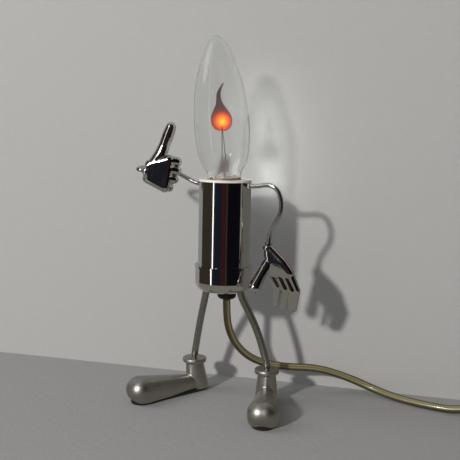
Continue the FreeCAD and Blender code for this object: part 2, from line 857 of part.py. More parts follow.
def arc_from(start, heading, end):
    """Arc that leaves start along its heading and ends at end."""
    chord = end - start
    flat = unit(chord)
    side = heading - flat * heading.dot(flat)
    angle = heading.getAngle(chord)
    if side.Length < 1e-6:
        return Part.LineSegment(start, end).toShape()
    middle = start + chord * 0.5 + unit(side) * (chord.Length / 2 * math.tan(angle / 2))
    return Part.Arc(start, middle, end).toShape()


def biarc(start, start_heading, end, end_heading):
    """Two tangent arcs between two points with given headings."""
    gap = end - start
    total = start_heading + end_heading
    spread = 2 * (1 - start_heading.dot(end_heading))
    across = gap.dot(total)
    if spread < 1e-9:
        reach = gap.dot(gap) / (2 * across)
    else:
        reach = (math.sqrt(across ** 2 + spread * gap.dot(gap)) - across) / spread
    joint = (start + start_heading * reach + end - end_heading * reach) * 0.5
    first = arc_from(start, start_heading, joint)
    second = arc_from(end, end_heading * -1, joint)
    return [first, second]


def coil_stations():
    """Points and headings of the coil: inwards on the ground, then outwards on top."""
    low = cord_r
    high = plug_height / 2
    reversal = int(round(coil_turns * 4)) + 1
    drop = coil_step / 4
    stations = []
    for index in range(2 * reversal + 1):
        turn = (index - 1) * math.pi / 2
        side = (index > reversal) - (index < reversal)
        radius = coil_outer_r - drop * (reversal - abs(index - reversal))
        height = (low + high) / 2
        rise = (high - low) / 2
        if abs(index - reversal) >= 1:
            height = high if side > 0 else low
            rise = 0.0
        outward = V(math.cos(turn), -math.sin(turn), 0)
        onward = V(-math.sin(turn), -math.cos(turn), 0)
        slope = drop * side if 0 < index < 2 * reversal else 0.0
        heading = onward * (radius * math.pi / 2) + outward * slope + V(0, 0, rise)
        point = V(coil_centre_x, coil_centre_y, height) + outward * radius
        stations.append((point, unit(heading)))
    return stations


def coil_wire():
    """Unbroken route of the coil, from the switch to the plug."""
    stations = coil_stations()
    switch_end = V(switch_far_end, 0, switch_height / 2)
    plug_end = V(plug_x, plug_y, plug_height / 2)
    out_heading = V(1, 0, 0)
    in_heading = V(-1, 0, 0)
    first = (switch_end, out_heading)
    second = (switch_end + out_heading * cord_d, out_heading)
    near_plug = (plug_end - in_heading * cord_d, in_heading)
    last = (plug_end, in_heading)
    edges = [Part.LineSegment(first[0], second[0]).toShape()]
    run = [second] + stations + [near_plug]
    for (start, start_heading), (end, end_heading) in zip(run, run[1:]):
        edges += biarc(start, start_heading, end, end_heading)
    edges.append(Part.LineSegment(near_plug[0], last[0]).toShape())
    return Part.Wire(Part.__sortEdges__(edges))


def least_self_gap(wire, radius):
    """Least distance between the tube's own passes, measured on points."""
    points = wire.discretize(Distance=2.0)
    spacing = wire.Length / (len(points) - 1)
    skip = int(6 * radius / spacing) + 1
    least = 1e9
    for index, point in enumerate(points):
        for other in points[index + skip:]:
            least = min(least, point.distanceToPoint(other))
    return least - 2 * radius


def cord_coil():
    wire = coil_wire()
    tube = bar_along(wire, cord_r)
    radii = [edge.Curve.Radius for edge in wire.Edges if edge.Curve.TypeId == "Part::GeomCircle"]
    print("coil length", round(wire.Length, 1), "least radius", round(min(radii), 1))
    print("coil least self gap", round(least_self_gap(wire, cord_r), 2))
    print("coil volume share", round(tube.Volume / (math.pi * cord_r ** 2 * wire.Length), 5))
    return tube


def switch_shell():
    """Outer form of the in-line switch with a nose at each end."""
    centre_y = 0.0
    middle_z = switch_height / 2
    body_x = switch_nose
    body = slab(switch_length, switch_width, switch_height, V(body_x, centre_y - switch_width / 2, 0))
    long_edges = [edge for edge in body.Edges if abs(edge.tangentAt(edge.FirstParameter).z) > 0.9]
    body = body.makeFillet(6.0, long_edges)
    nose_r = 4.6
    first = Part.makeCone(nose_r, nose_r + 1.6, switch_nose + 1, V(0, centre_y, middle_z), V(1, 0, 0))
    end_x = body_x + switch_length
    second = Part.makeCone(nose_r + 1.6, nose_r, switch_nose + 1, V(end_x - 1, centre_y, middle_z), V(1, 0, 0))
    return body.fuse(first).fuse(second)


def rocker_pocket():
    middle_x = switch_nose + switch_length / 2
    return block(rocker_length + 2 * rocker_gap, rocker_width + 2 * rocker_gap, switch_height,
                 middle_x, 0, switch_height - rocker_height - rocker_gap)


def switch_half(upper):
    shell = switch_shell()
    far = 4 * switch_length
    if upper:
        keep = slab(far, far, far, V(-far / 2, -far / 2, switch_split))
        shell = shell.common(keep).cut(rocker_pocket())
        middle_x = switch_nose + switch_length / 2
        pin_bore = Part.makeCylinder(rocker_pivot_r + 0.06, rocker_width + 5.0,
                                     V(middle_x, -rocker_width / 2 - 2.5, rocker_pivot_z()),
                                     V(0, 1, 0))
        return shell.cut(pin_bore)
    keep = slab(far, far, switch_split, V(-far / 2, -far / 2, 0))
    return shell.common(keep).cut(rocker_pocket())


def rocker_pivot_z():
    return switch_height - 3.2


def switch_rocker():
    middle_x = switch_nose + switch_length / 2
    low = switch_height - rocker_height + 2.2
    half = rocker_length / 2
    outline = [
        V(middle_x - half + 0.6, 0, low), V(middle_x + half - 0.6, 0, low),
        V(middle_x + half - 0.6, 0, switch_height + 0.6), V(middle_x, 0, switch_height - 0.6),
        V(middle_x - half + 0.6, 0, switch_height + 2.2), V(middle_x - half + 0.6, 0, low),
    ]
    body = Part.Face(Part.makePolygon(outline)).extrude(V(0, rocker_width, 0))
    body.translate(V(0, -rocker_width / 2, 0))
    pin = Part.makeCylinder(rocker_pivot_r, rocker_width + 4.0,
                            V(middle_x, -rocker_width / 2 - 2.0, rocker_pivot_z()), V(0, 1, 0))
    return body.fuse(pin)


def plug_body():
    middle_z = plug_height / 2
    neck = Part.makeCone(plug_neck_r, plug_neck_r + 1.8, plug_neck_length + 1, V(plug_x, plug_y, middle_z),
                         V(-1, 0, 0))
    body_end = plug_x - plug_neck_length
    body = slab(plug_length, plug_width, plug_height,
                V(body_end - plug_length, plug_y - plug_width / 2, 0))
    corners = [edge for edge in body.Edges if abs(edge.tangentAt(edge.FirstParameter).z) > 0.9]
    return body.makeFillet(5.0, corners).fuse(neck).removeSplitter()


def plug_blades():
    face_x = plug_x - plug_neck_length - plug_length
    blades = []
    for side in (-1, 1):
        blades.append(slab(blade_length, blade_thickness, blade_width,
                           V(face_x - blade_length, plug_y + side * blade_spacing / 2 - blade_thickness / 2,
                             plug_height / 2 - blade_width / 2)))
    return Part.makeCompound(blades)


def build():
    return {
        "body_tube": body_tube(),
        "base_cup": base_cup(),
        "top_ring": top_ring(),
        "shoulder_bush_left": shoulder_bush(1),
        "shoulder_bush_right": shoulder_bush(-1),
        "socket_body": socket_body(),
        "socket_shell": socket_shell(),
        "socket_centre_contact": centre_contact(),
        "socket_terminals": socket_terminals(),
        "terminal_screws": terminal_screws(),
        "socket_holder": socket_holder(),
        "grommet": grommet(),
        "cord_inlet": cord_inlet(),
        "cord_clamp": cord_clamp(),
        "wire_live": inner_wire(-1),
        "wire_neutral": inner_wire(1),
        "leg_left": leg(1),
        "leg_right": leg(-1),
        "leg_nuts": leg_nuts(),
        "ankle_screws": ankle_screws(),
        "shoe_left": shoe(1),
        "shoe_right": shoe(-1),
        "sole_left": sole(1),
        "sole_right": sole(-1),
        "arm_left": arm_with_pin(left_arm(), left_arm_route),
        "arm_right": arm_with_pin(right_arm(), right_arm_route),
        "arm_collar_left": arm_collar(1),
        "arm_collar_right": arm_collar(-1),
        "hand_left": left_hand(),
        "hand_right": right_fist(),
        "bulb_glass": bulb_glass(),
        "bulb_cap": bulb_cap(),
        "bulb_insulator": cap_insulator(),
        "bulb_eyelet": eyelet(),
        "bulb_stem": bulb_stem(),
        "bulb_leads": lead_wires(),
        "flame_plate_front": flame_plate(-1),
        "flame_plate_back": flame_plate(1),
        "cord_lead": cord_lead(),
        "cord_coil": laid(cord_coil()),
        "switch_base": laid(switch_half(False)),
        "switch_cover": laid(switch_half(True)),
        "switch_rocker": laid(switch_rocker()),
        "plug_body": laid(plug_body()),
        "plug_blades": laid(plug_blades()),
    }


def main():
    os.makedirs("parts", exist_ok=True)
    for name, shape in build().items():
        shape.translate(V(body_axis_x, body_axis_y, 0))
        box = shape.optimalBoundingBox(False)
        print(name, "valid" if shape.isValid() else "INVALID", len(shape.Solids),
              [round(v, 1) for v in (box.XMin, box.XMax, box.YMin, box.YMax, box.ZMin, box.ZMax)])
        shape.exportStep("parts/" + name + ".step")


main()
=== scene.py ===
import json
import math

import bmesh
import bpy
from mathutils import Matrix, Vector


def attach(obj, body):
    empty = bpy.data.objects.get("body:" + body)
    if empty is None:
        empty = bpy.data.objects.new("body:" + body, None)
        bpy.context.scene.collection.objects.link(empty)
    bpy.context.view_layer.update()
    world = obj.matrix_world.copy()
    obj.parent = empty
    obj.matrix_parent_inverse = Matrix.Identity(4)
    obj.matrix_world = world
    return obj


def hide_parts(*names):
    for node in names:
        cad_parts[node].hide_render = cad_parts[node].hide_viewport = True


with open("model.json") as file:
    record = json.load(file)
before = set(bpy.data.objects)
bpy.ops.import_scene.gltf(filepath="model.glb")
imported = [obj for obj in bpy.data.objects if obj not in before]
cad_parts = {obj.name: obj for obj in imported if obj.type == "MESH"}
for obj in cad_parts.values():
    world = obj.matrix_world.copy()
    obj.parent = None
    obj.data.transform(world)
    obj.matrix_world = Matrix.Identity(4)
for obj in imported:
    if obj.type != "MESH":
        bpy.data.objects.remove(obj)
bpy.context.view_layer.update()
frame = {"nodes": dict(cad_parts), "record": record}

# A small desk lamp in the shape of a robot. Metres, in the CAD model's frame.

nodes = frame["nodes"]

# Place of the body's upright axis. The sizes below are written about it, in millimetres.
body_axis = Vector((3.55, 6.45, 0.0))


def about_body(x, y, z):
    """Point about the body's axis in millimetres, as a point of the frame in metres."""
    return (Vector((x, y, z)) + body_axis) / 1000


# Camera at the photograph's viewpoint

camera_place = Vector((0.202408, -0.416332, 0.17629))
camera_right = Vector((0.90681, 0.42104, 0.02041))
camera_up = Vector((-0.07392, 0.11115, 0.99105))
camera_back = camera_right.cross(camera_up)
camera_data = bpy.data.cameras.new("camera")
camera_data.lens = 57.83
camera_data.sensor_width = 36.0
camera_data.clip_start = 0.01
camera = bpy.data.objects.new("camera", camera_data)
bpy.context.scene.collection.objects.link(camera)
turn = Matrix((camera_right, camera_up, camera_back)).transposed()
camera.matrix_world = Matrix.Translation(camera_place) @ turn.to_4x4()
bpy.context.scene.camera = camera


# Helpers

def link(obj):
    bpy.context.scene.collection.objects.link(obj)
    return obj


def smooth_cord(name, points, diameter):
    """Round tube on one smooth spline with the given control points, and the points of the spline's line."""
    curve = bpy.data.curves.new(name, "CURVE")
    curve.dimensions = "3D"
    curve.resolution_u = 10
    curve.bevel_resolution = 8
    spline = curve.splines.new("NURBS")
    spline.points.add(len(points) - 1)
    for target, point in zip(spline.points, points):
        target.co = (point[0], point[1], point[2], 1.0)
    spline.order_u = 3
    spline.use_endpoint_u = True
    drawn = link(bpy.data.objects.new(name + "_drawn", curve))
    line = bpy.data.meshes.new_from_object(drawn.evaluated_get(bpy.context.evaluated_depsgraph_get()))
    curve.bevel_depth = diameter / 2
    tube = bpy.data.meshes.new_from_object(drawn.evaluated_get(bpy.context.evaluated_depsgraph_get()))
    bpy.data.objects.remove(drawn)
    for polygon in tube.polygons:
        polygon.use_smooth = True
    tube.materials.clear()
    return link(bpy.data.objects.new(name, tube)), [tuple(vertex.co) for vertex in line.vertices]


# Mains cord from the grommet to the in-line switch

cord_d = 5.0
grommet_y = 5.6
grommet_bottom = 70.6
switch_height = 17.0
cord_route = (
    (0.0, grommet_y, grommet_bottom),
    (0.0, grommet_y, 60.0),
    (0.4, 8.4, 47.5),
    (3.6, 13.6, 36.0),
    (9.6, 21.0, 26.5),
    (17.8, 29.5, 20.6),
    (30.5, 37.5, 17.8),
    (50.0, 48.0, 17.2),
    (68.0, 58.0, 10.6),
    (85.0, 61.5, 4.0),
    (102.0, 55.5, cord_d / 2),
    (121.0, 51.0, cord_d / 2),
    (142.0, 50.0, cord_d / 2),
    (157.0, 49.4, switch_height / 2),
    (171.0, 48.9, switch_height / 2),
)
lead, lead_line = smooth_cord(
    "cord_lead_dressed", [about_body(*point) for point in cord_route], cord_d / 1000,
)

# Coil of the put-away length, from the switch to the plug, as part.py draws it

coil_outer_r = 33.5
coil_lead_in = 34.0
coil_lead_out = 24.0
coil_step = 5.55
coil_turns = 3.0
plug_height = 16.0
switch_length = 58.0
switch_relief = 7.0
switch_far_end = switch_length + 2 * switch_relief
coil_centre = Vector((switch_far_end + coil_lead_in, -coil_outer_r, 0.0))
ground_heading = math.atan2(cord_route[-1][1] - cord_route[-2][1], cord_route[-1][0] - cord_route[-2][0])
reversal = int(round(coil_turns * 4)) + 1
steps_per_quarter = 4
# A spline of order 3 runs inside a ring of control points by this share of the ring's radius.
spline_share = 0.75 + 0.25 * math.cos(math.pi / 2 / steps_per_quarter)


def on_ground(x, y, z):
    """Point of the switch, coil and plug, which are laid out along the cord's last run."""
    cos, sin = math.cos(ground_heading), math.sin(ground_heading)
    start = cord_route[-1]
    return about_body(start[0] + x * cos - y * sin, start[1] + x * sin + y * cos, z)


def coil_point(quarters):
    """Point of the coil, inwards on the ground and then outwards on top."""
    angle = (quarters - 1) * math.pi / 2
    radius = coil_outer_r - coil_step / 4 * (reversal - abs(quarters - reversal))
    radius /= spline_share
    climb = min(max((quarters - reversal + 1) / 2, 0.0), 1.0)
    height = cord_d / 2 + (plug_height - cord_d) / 2 * climb
    x = coil_centre.x + radius * math.cos(angle)
    y = coil_centre.y - radius * math.sin(angle)
    return on_ground(x, y, height)


plug_x = coil_centre.x - coil_lead_out
plug_y = coil_centre.y - coil_outer_r
coil_points = [
    on_ground(switch_far_end, 0.0, switch_height / 2),
    on_ground(switch_far_end + cord_d, 0.0, switch_height / 2),
    on_ground(switch_far_end + 14.0, 0.0, 6.4),
    on_ground(switch_far_end + 24.0, 0.0, 2.8),
]
coil_points += [coil_point(k / steps_per_quarter) for k in range(2 * reversal * steps_per_quarter + 1)]
coil_points += [
    on_ground(coil_centre.x - 9.0, plug_y, plug_height / 2),
    on_ground(plug_x + cord_d, plug_y, plug_height / 2),
    on_ground(plug_x, plug_y, plug_height / 2),
]
coil, coil_line = smooth_cord("cord_coil_dressed", coil_points, cord_d / 1000)

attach(lead, "torso")
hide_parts("cord_lead")
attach(coil, "torso")
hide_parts("cord_coil")


# Materials

class Finish:
    """A procedural material on the object's own coordinates."""

    def __init__(self, name):
        self.material = bpy.data.materials.new(name)
        self.material.use_nodes = True
        self.tree = self.material.node_tree
        self.shader = self.tree.nodes["Principled BSDF"]
        self.place = self.tree.nodes.new("ShaderNodeTexCoord").outputs["Object"]

    def add(self, kind, **inputs):
        node = self.tree.nodes.new(kind)
        for key, value in inputs.items():
            node.inputs[key.replace("_", " ")].default_value = value
        return node

    def join(self, source, target):
        self.tree.links.new(source, target)

    def set(self, **values):
        for key, value in values.items():
            self.shader.inputs[key.replace("_", " ")].default_value = value

    def stretched(self, scale):
        """The object's coordinates, scaled by axis."""
        node = self.add("ShaderNodeMapping")
        node.inputs["Scale"].default_value = scale
        self.join(self.place, node.inputs["Vector"])
        return node.outputs["Vector"]

    def noise(self, scale, detail=3.0, roughness=0.5, stretch=None):
        """Noise whose features are about 1/scale metres across."""
        node = self.add("ShaderNodeTexNoise", Scale=scale, Detail=detail, Roughness=roughness)
        self.join(self.stretched(stretch) if stretch else self.place, node.inputs["Vector"])
        return node.outputs["Fac"]

    def ranged(self, value, low, high, start=0.3, end=0.7):
        node = self.add("ShaderNodeMapRange")
        self.join(value, node.inputs["Value"])
        for key, number in (("From Min", start), ("From Max", end), ("To Min", low), ("To Max", high)):
            node.inputs[key].default_value = number
        return node.outputs["Result"]

    def ramp(self, value, stops):
        node = self.tree.nodes.new("ShaderNodeValToRGB")
        elements = node.color_ramp.elements
        elements.remove(elements[1])
        elements[0].position = stops[0][0]
        elements[0].color = (*stops[0][1], 1.0)
        for position, colour in stops[1:]:
            elements.new(position).color = (*colour, 1.0)
        self.join(value, node.inputs["Fac"])
        return node.outputs["Color"]

    def bump(self, height, distance, strength=1.0):
        node = self.add("ShaderNodeBump", Strength=strength, Distance=distance)
        self.join(height, node.inputs["Height"])
        self.join(node.outputs["Normal"], self.shader.inputs["Normal"])

    def colour(self, value, stops):
        self.join(self.ramp(value, stops), self.shader.inputs["Base Color"])

    def rough(self, value, low, high, start=0.3, end=0.7):
        self.join(self.ranged(value, low, high, start, end), self.shader.inputs["Roughness"])


def grey(level, warmth=0.0):
    return (level * (1 + warmth), level, level * (1 - warmth))


def polished(name, level, low, high, warmth=0.01):
    """Polished plating with faint haze and wiping marks."""
    finish = Finish(name)
    finish.set(Metallic=1.0)
    haze = finish.noise(90, 4)
    marks = finish.noise(700, 2, 0.6, (1.0, 1.0, 0.12))
    finish.colour(haze, [(0.3, grey(level * 0.93, warmth)), (0.7, grey(level, warmth))])
    finish.rough(marks, low, high)
    finish.bump(haze, 0.00002, 0.5)
    return finish.material


def satin(name, level, warmth, low, high, grain_scale, grain_depth, stretch=None):
    """Satin metal with a fine grain, slow tone changes and small darker pits."""
    finish = Finish(name)
    finish.set(Metallic=1.0)
    grain = finish.noise(grain_scale, 4, 0.6, stretch)
    tone = finish.noise(160, 3)
    finish.colour(tone, [(0.3, grey(level * 0.86, warmth)), (0.7, grey(level, warmth))])
    finish.rough(grain, low, high)
    finish.bump(grain, grain_depth)
    return finish.material


def moulded(name, dark, light, low, high, scale=900, depth=0.00004, coat=0.0):
    """Moulded plastic or rubber with a fine skin texture and slight unevenness of colour."""
    finish = Finish(name)
    finish.set(Coat_Weight=coat)
    skin = finish.noise(scale, 3, 0.6)
    tone = finish.noise(70, 3)
    finish.colour(tone, [(0.3, dark), (0.7, light)])
    finish.rough(skin, low, high)
    finish.bump(skin, depth)
    return finish.material


def clear_glass(name, tint, waviness):
    """Clear blown glass that lets shadow rays through, with faint waves in its surface."""
    finish = Finish(name)
    finish.set(Base_Color=(*tint, 1.0), Roughness=0.0, IOR=1.47, Transmission_Weight=1.0)
    wave = finish.noise(60, 2, 0.4, (1.0, 1.0, 0.3))
    finish.bump(wave, waviness)
    clear = finish.add("ShaderNodeBsdfTransparent")
    clear.inputs["Color"].default_value = (0.86, 0.87, 0.87, 1.0)
    path = finish.tree.nodes.new("ShaderNodeLightPath")
    mix = finish.tree.nodes.new("ShaderNodeMixShader")
    output = finish.tree.nodes["Material Output"]
    finish.join(path.outputs["Is Shadow Ray"], mix.inputs[0])
    finish.join(finish.shader.outputs[0], mix.inputs[1])
    finish.join(clear.outputs[0], mix.inputs[2])
    finish.join(mix.outputs[0], output.inputs["Surface"])
    return finish.material


def flame_finish(name, centre, radius):
    """Glowing plate: yellow core, orange body, dark red rim, by distance from the glow's middle."""
    finish = Finish(name)
    away = finish.add("ShaderNodeVectorMath")
    away.operation = "DISTANCE"
    away.inputs[1].default_value = centre
    finish.join(finish.place, away.inputs[0])
    grain = finish.noise(1500, 2)
    uneven = finish.add("ShaderNodeMath")
    uneven.operation = "MULTIPLY_ADD"
    uneven.inputs[1].default_value = 0.0006
    finish.join(grain, uneven.inputs[0])
    finish.join(away.outputs["Value"], uneven.inputs[2])
    share = finish.ranged(uneven.outputs[0], 0.0, 1.0, 0.0, radius)
    glow = finish.ramp(share, [
        (0.0, (1.0, 0.66, 0.02)), (0.08, (1.0, 0.42, 0.008)), (0.165, (1.0, 0.13, 0.002)),
        (0.235, (0.55, 0.035, 0.004)), (0.30, (0.12, 0.010, 0.004)), (0.42, (0.03, 0.006, 0.004)),
        (1.0, (0.010, 0.004, 0.004)),
    ])
    finish.set(Roughness=0.6, Emission_Strength=1.15)
    finish.colour(share, [(0.0, (0.06, 0.015, 0.006)), (0.4, (0.014, 0.007, 0.006))])
    finish.join(glow, finish.shader.inputs["Emission Color"])
    finish.bump(grain, 0.00003)
    return finish.material


def cord_finish(name):
    """Olive translucent sheath over two twisted conductors that show through as darker lines, with painted
    highlight lines in pale gold.
    """
    finish = Finish(name)
    along = finish.tree.nodes.new("ShaderNodeTexCoord").outputs["UV"]
    split = finish.tree.nodes.new("ShaderNodeSeparateXYZ")
    finish.join(along, split.inputs[0])
    wave = finish.add("ShaderNodeMath")
    wave.operation = "MULTIPLY"
    wave.inputs[1].default_value = 4 * math.pi
    finish.join(split.outputs["Y"], wave.inputs[0])
    ripple = finish.add("ShaderNodeMath")
    ripple.operation = "COSINE"
    finish.join(wave.outputs[0], ripple.inputs[0])
    cores_and_painted_highlights = finish.ranged(ripple.outputs[0], 0.0, 1.0, -1.0, 1.0)
    # Dark stops: the conductors showing through. The pale gold stop at 0.88 is a painted highlight line.
    finish.colour(cores_and_painted_highlights, [
        (0.0, (0.022, 0.020, 0.008)), (0.4, (0.050, 0.044, 0.017)), (0.72, (0.12, 0.105, 0.045)),
        (0.88, (0.30, 0.27, 0.15)), (1.0, (0.16, 0.14, 0.07)),
    ])
    skin = finish.noise(1200, 3)
    finish.rough(skin, 0.26, 0.4)
    finish.bump(skin, 0.00003)
    finish.set(Coat_Weight=0.5, Subsurface_Weight=0.15, Subsurface_Scale=0.002)
    return finish.material


chrome = polished("chrome", 0.74, 0.045, 0.09)
rod_chrome = polished("rod_chrome", 0.66, 0.08, 0.16, 0.015)
hand_chrome = polished("hand_chrome", 0.72, 0.06, 0.12, 0.015)
leg_steel = satin("leg_steel", 0.40, 0.05, 0.2, 0.28, 1600, 0.000004, (1.0, 1.0, 0.2))
cast_nickel = satin("cast_nickel", 0.43, 0.05, 0.36, 0.46, 2400, 0.00003)
plated_steel = satin("plated_steel", 0.6, 0.0, 0.18, 0.3, 1800, 0.00002)
lead_wire = satin("lead_wire", 0.14, 0.02, 0.3, 0.45, 2500, 0.00001)
brass = satin("brass", 0.62, 0.28, 0.16, 0.3, 1500, 0.00002)
white_plastic = moulded(
    "white_plastic", (0.80, 0.77, 0.69), (0.86, 0.84, 0.78), 0.25, 0.36, 600, 0.00002, 0.3,
)
nylon = moulded("nylon", (0.62, 0.60, 0.55), (0.70, 0.68, 0.63), 0.4, 0.55)
bakelite = moulded(
    "bakelite", (0.05, 0.025, 0.014), (0.085, 0.04, 0.02), 0.2, 0.32, 700, 0.00002, 0.4,
)
black_rubber = moulded(
    "black_rubber", (0.006, 0.006, 0.006), (0.014, 0.013, 0.012), 0.45, 0.65, 1400, 0.00005,
)
black_plastic = moulded(
    "black_plastic", (0.012, 0.012, 0.013), (0.022, 0.022, 0.023), 0.28, 0.42, 1600, 0.00004, 0.2,
)
wire_brown = moulded("wire_brown", (0.12, 0.04, 0.015), (0.18, 0.07, 0.025), 0.3, 0.4)
wire_blue = moulded("wire_blue", (0.02, 0.07, 0.28), (0.04, 0.11, 0.36), 0.3, 0.4)
bulb_glass = clear_glass("bulb_glass", (0.97, 0.98, 0.98), 0.00004)
stem_glass = clear_glass("stem_glass", (0.95, 0.83, 0.82), 0.0001)
cord_pvc = cord_finish("cord_pvc")

# Glow of the flame plates, round a point of the bulb's leaning axis
lean = math.radians(4.7)
lean_heading = math.radians(204.75)
holder_pivot_z = 145.8
flame_glow_height = 36.8
glow_centre = about_body(
    flame_glow_height * math.sin(lean) * math.cos(lean_heading) + 0.7,
    flame_glow_height * math.sin(lean) * math.sin(lean_heading) - 0.4,
    holder_pivot_z + flame_glow_height * math.cos(lean),
)
flame = flame_finish("flame", glow_centre, 0.0225)

finishes = {
    "chrome": chrome, "steel_rod": rod_chrome, "leg_steel": leg_steel, "cast_nickel": cast_nickel,
    "white_plastic": white_plastic, "black_rubber": black_rubber, "bakelite": bakelite, "brass": brass,
    "glass": bulb_glass, "nylon": nylon, "steel": plated_steel, "flame": flame, "wire_brown": wire_brown,
    "wire_blue": wire_blue, "cord_pvc": cord_pvc, "black_plastic": black_plastic,
}
for part in frame["record"]["subparts"]:
    for socket in nodes[part["node"]].material_slots:
        socket.material = finishes[part["material_slot"]]
nodes["bulb_stem"].material_slots[0].material = stem_glass
nodes["bulb_leads"].material_slots[0].material = lead_wire
for obj in (lead, coil):
    obj.data.materials.append(cord_pvc)


# Hands, drawn as rounded chains of stations that are remeshed into one smooth form

hand_voxel = 0.32
wrist_bore_r = 1.2
left_wrist = Vector((30.4, 0.0, 107.0))
left_forearm = (left_wrist - Vector((31.4, 0.0, 115.0))).normalized()
right_wrist = Vector((-49.1, -15.8, 150.4))
right_forearm = (right_wrist - Vector((-54.2, -17.2, 151.2))).normalized()
fist_turn = math.radians(14.75)
fist_dip = math.radians(9.5)
fist_ahead = Vector((
    math.cos(fist_turn) * math.cos(fist_dip), math.sin(fist_turn) * math.cos(fist_dip), -math.sin(fist_dip),
))
fist_back = Vector((math.sin(fist_turn), -math.cos(fist_turn), 0.0))
fist_thumbward = fist_back.cross(fist_ahead)


def fist(along, up, out):
    """Point of the fist by its own directions from the wrist, in the body's millimetres."""
    return right_wrist + fist_ahead * along + fist_thumbward * up + fist_back * out


def hull(bm, balls):
    """Rounded form stretched over (point, radius) balls, in millimetres."""
    form = bmesh.new()
    for point, radius in balls:
        bmesh.ops.create_icosphere(
            form, subdivisions=4, radius=radius / 1000, matrix=Matrix.Translation(about_body(*point)),
        )
    bmesh.ops.convex_hull(form, input=form.verts)
    bmesh.ops.delete(form, geom=[v for v in form.verts if not v.link_faces], context="VERTS")
    mesh = bpy.data.meshes.new("hull")
    form.to_mesh(mesh)
    form.free()
    bm.from_mesh(mesh)
    bpy.data.meshes.remove(mesh)


def chain(bm, stations):
    """Tapered rounded bars along a chain of (point, radius) stations."""
    for pair in zip(stations, stations[1:]):
        hull(bm, pair)


def settled(obj):
    """The object's mesh with its modifiers applied."""
    mesh = bpy.data.meshes.new_from_object(obj.evaluated_get(bpy.context.evaluated_depsgraph_get()))
    obj.modifiers.clear()
    obj.data = mesh
    for polygon in mesh.polygons:
        polygon.use_smooth = True


def round_bar(name, start, heading, length, radius):
    """Plain cylinder that a bore is cut with."""
    bm = bmesh.new()
    turn = heading.to_track_quat("Z", "Y").to_matrix().to_4x4()
    middle = about_body(*(start + heading * length / 2))
    bmesh.ops.create_cone(
        bm, cap_ends=True, segments=48, radius1=radius / 1000, radius2=radius / 1000, depth=length / 1000,
        matrix=Matrix.Translation(middle) @ turn,
    )
    mesh = bpy.data.meshes.new(name)
    bm.to_mesh(mesh)
    return link(bpy.data.objects.new(name, mesh))


def cut_away(obj, cutter):
    """Takes the cutter's form out of the object, and removes the cutter."""
    cut = obj.modifiers.new("cut", "BOOLEAN")
    cut.operation = "DIFFERENCE"
    cut.solver = "EXACT"
    cut.object = cutter
    settled(obj)
    bpy.data.objects.remove(cutter)


def formed_hand(name, palm, chains, cuff, bores, node):
    """Hand of one smooth form, bored for its wrist, that stands for the node and body of that name."""
    bm = bmesh.new()
    for balls in palm:
        hull(bm, balls)
    for stations in chains:
        chain(bm, stations)
    start, heading, length, low_r, high_r = cuff
    bmesh.ops.create_cone(
        bm, cap_ends=True, segments=64, radius1=low_r / 1000, radius2=high_r / 1000, depth=length / 1000,
        matrix=Matrix.Translation(about_body(*(start + heading * length / 2)))
        @ heading.to_track_quat("Z", "Y").to_matrix().to_4x4(),
    )
    mesh = bpy.data.meshes.new(name)
    bm.to_mesh(mesh)
    obj = link(bpy.data.objects.new(name, mesh))
    remesh = obj.modifiers.new("remesh", "REMESH")
    remesh.mode = "VOXEL"
    remesh.voxel_size = hand_voxel / 1000
    smooth = obj.modifiers.new("smooth", "SMOOTH")
    smooth.factor = 0.5
    smooth.iterations = 6
    settled(obj)
    for start, heading, length, radius in bores:
        cut_away(obj, round_bar("cutter", start, heading, length, radius))
    obj.data.materials.clear()
    obj.data.materials.append(hand_chrome)
    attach(obj, node)
    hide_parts(node)


fist_palm = [[
    (fist(2.8, 4.4, 1.2), 3.6), (fist(2.8, -4.2, 1.2), 3.6), (fist(14.4, 9.6, 1.2), 3.6),
    (fist(14.4, -7.6, 1.2), 3.6),
]]
fist_chains = []
for level, reach in ((9.6, 20.2), (3.9, 20.9), (-1.9, 20.0), (-7.6, 17.6)):
    fist_chains.append([
        (fist(14.0, level, 1.4), 3.2), (fist(reach - 0.8, level, -0.8), 2.95),
        (fist(reach - 4.2, level, -6.0), 2.6), (fist(reach - 10.3, level, -5.0), 2.4),
    ])
fist_chains.append([
    (fist(5.0, 5.0, 0.4), 4.3), (fist(8.2, 12.6, -0.2), 4.2), (fist(9.2, 18.0, -0.6), 3.6),
    (fist(10.6, 25.0, -0.6), 3.8), (fist(11.6, 30.2, -0.4), 3.3),
])
fist_cuff = (fist(0.7, 0.0, 0.0), fist_ahead, 2.2, 6.1, 6.1)
formed_hand("hand_right_formed", fist_palm, fist_chains, fist_cuff, [
    (right_wrist - right_forearm * 2.7, right_forearm, 3.0, 2.5),
    (right_wrist, right_forearm, 7.0, wrist_bore_r),
], "hand_right")

open_palm = [
    [((30.6, 0, 104.6), 3.1), ((31.0, 0, 101.0), 3.4), ((32.0, 0, 96.6), 3.6), ((39.6, 0, 96.6), 3.3)],
    [((32.0, 0, 96.6), 3.6), ((39.6, 0, 96.6), 3.3), ((32.8, 0.4, 90.0), 3.3), ((44.6, 0.4, 90.4), 3.2)],
]
open_chains = [[((30.4, -0.8, 95.0), 3.7), ((27.8, -5.0, 88.0), 3.4), ((25.6, -8.6, 81.2), 4.1)]]
for root, middle_joint, tip in (
    ((32.6, 0.4, 89.5), (37.6, 0.2, 81.2), (35.8, 3.0, 69.4)),
    ((37.6, 0.2, 89.5), (42.4, 0.0, 80.2), (40.6, 3.4, 67.6)),
    ((41.6, 0.4, 89.5), (46.4, 0.8, 79.4), (44.2, 4.4, 66.4)),
    ((45.0, 0.8, 89.8), (49.4, 2.0, 79.6), (46.8, 5.6, 66.8)),
):
    open_chains.append([(root, 2.6), (middle_joint, 2.3), (tip, 1.7)])
open_cuff = (left_wrist + left_forearm * 0.4, left_forearm, 2.6, 3.1, 3.5)
